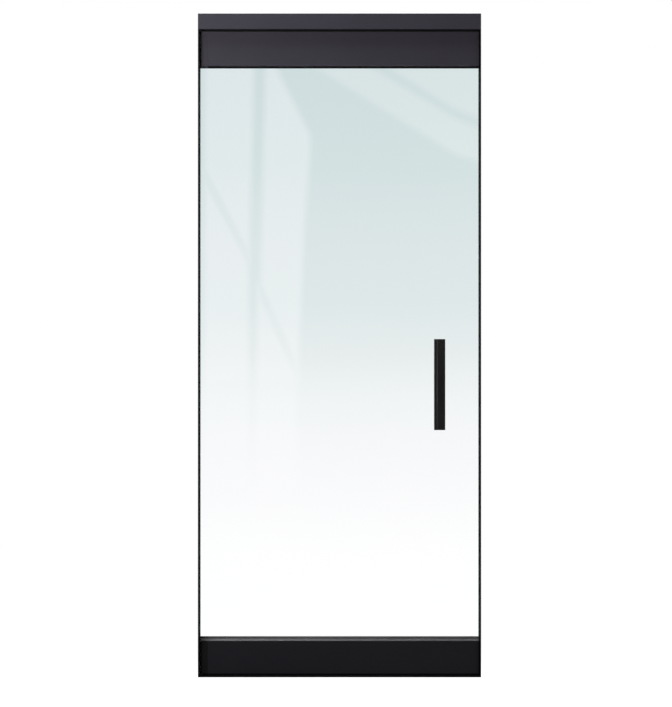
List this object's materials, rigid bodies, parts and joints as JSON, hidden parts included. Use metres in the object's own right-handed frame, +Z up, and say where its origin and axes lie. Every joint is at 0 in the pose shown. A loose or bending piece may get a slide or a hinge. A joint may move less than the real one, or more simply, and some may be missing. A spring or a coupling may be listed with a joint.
{
  "type": "glass door",
  "caption": "Entrance door: a glass leaf clamped in metal rails, hung on pivots in a slim frame of header, jambs and sill, with bar pull handles and a concealed closer.",
  "frame": {"origin": "middle of the frame's foot, on the floor", "axes": "+X from the hinge side to the lock side, the front faces -Y, +Z up"},
  "size_m": [0.896, 0.134, 2.1],
  "materials": {
    "charcoal_paint": "satin powder coat",
    "black_paint": "satin powder coat",
    "frame_black": "satin powder coat",
    "handle_black": "satin powder coat",
    "black_plastic": "moulded",
    "mill_aluminium": "mill",
    "steel": "machined",
    "zinc_steel": "zinc plated",
    "bronze": "turned",
    "rubber": "matt",
    "brush_pile": "pile",
    "nylon": "turned",
    "glass": "polished, toughened"
  },
  "bodies": {
    "frame": {"header": "charcoal_paint", "header_soffit": "charcoal_paint", "soffit_screws": "zinc_steel", "jamb_hinge_side": "frame_black", "jamb_lock_side": "frame_black", "jamb_brush_hinge_side": "brush_pile", "jamb_brush_lock_side": "brush_pile", "sill": "frame_black", "corner_cleat_left": "mill_aluminium", "corner_cleat_right": "mill_aluminium", "frame_screws": "zinc_steel", "closer_body": "steel", "closer_screws": "zinc_steel", "pivot_base": "steel", "pivot_base_screws": "zinc_steel", "thrust_washer": "bronze"},
    "leaf": {"glass": "glass", "top_core": "mill_aluminium", "top_cover_front": "charcoal_paint", "top_cover_back": "charcoal_paint", "top_heel_cap": "charcoal_paint", "top_toe_cap": "charcoal_paint", "top_gasket_front": "rubber", "top_gasket_back": "rubber", "top_glass_liner": "rubber", "top_pressure_bars": "mill_aluminium", "top_clamp_screws": "zinc_steel", "top_brushes": "brush_pile", "bottom_core": "mill_aluminium", "bottom_cover_front": "black_paint", "bottom_cover_back": "black_paint", "bottom_heel_cap": "black_plastic", "bottom_toe_cap": "black_paint", "bottom_gasket_front": "rubber", "bottom_gasket_back": "rubber", "bottom_glass_liner": "rubber", "bottom_pressure_bars": "mill_aluminium", "bottom_clamp_screws": "zinc_steel", "bottom_brushes": "brush_pile", "end_cap_screws": "zinc_steel", "closer_spindle": "steel", "top_arm": "steel", "top_arm_screws": "zinc_steel", "pivot_block": "steel", "pivot_block_screws": "zinc_steel", "pivot_bush": "bronze", "handle_bar_front": "handle_black", "handle_bar_back": "handle_black", "handle_caps_front": "handle_black", "handle_caps_back": "handle_black", "handle_post_front_upper": "handle_black", "handle_post_front_lower": "handle_black", "handle_post_back_upper": "handle_black", "handle_post_back_lower": "handle_black", "handle_washers": "rubber", "handle_sleeves": "nylon", "handle_studs": "zinc_steel"}
  },
  "joints": [
    {"name": "leaf_swing", "type": "hinge", "parent": "frame", "child": "leaf", "pos_m": [-0.376, 0, 0], "axis": [0, 0, 1], "range_deg": [-90, 90], "stiffness_Nm_per_rad": 20}
  ]
}
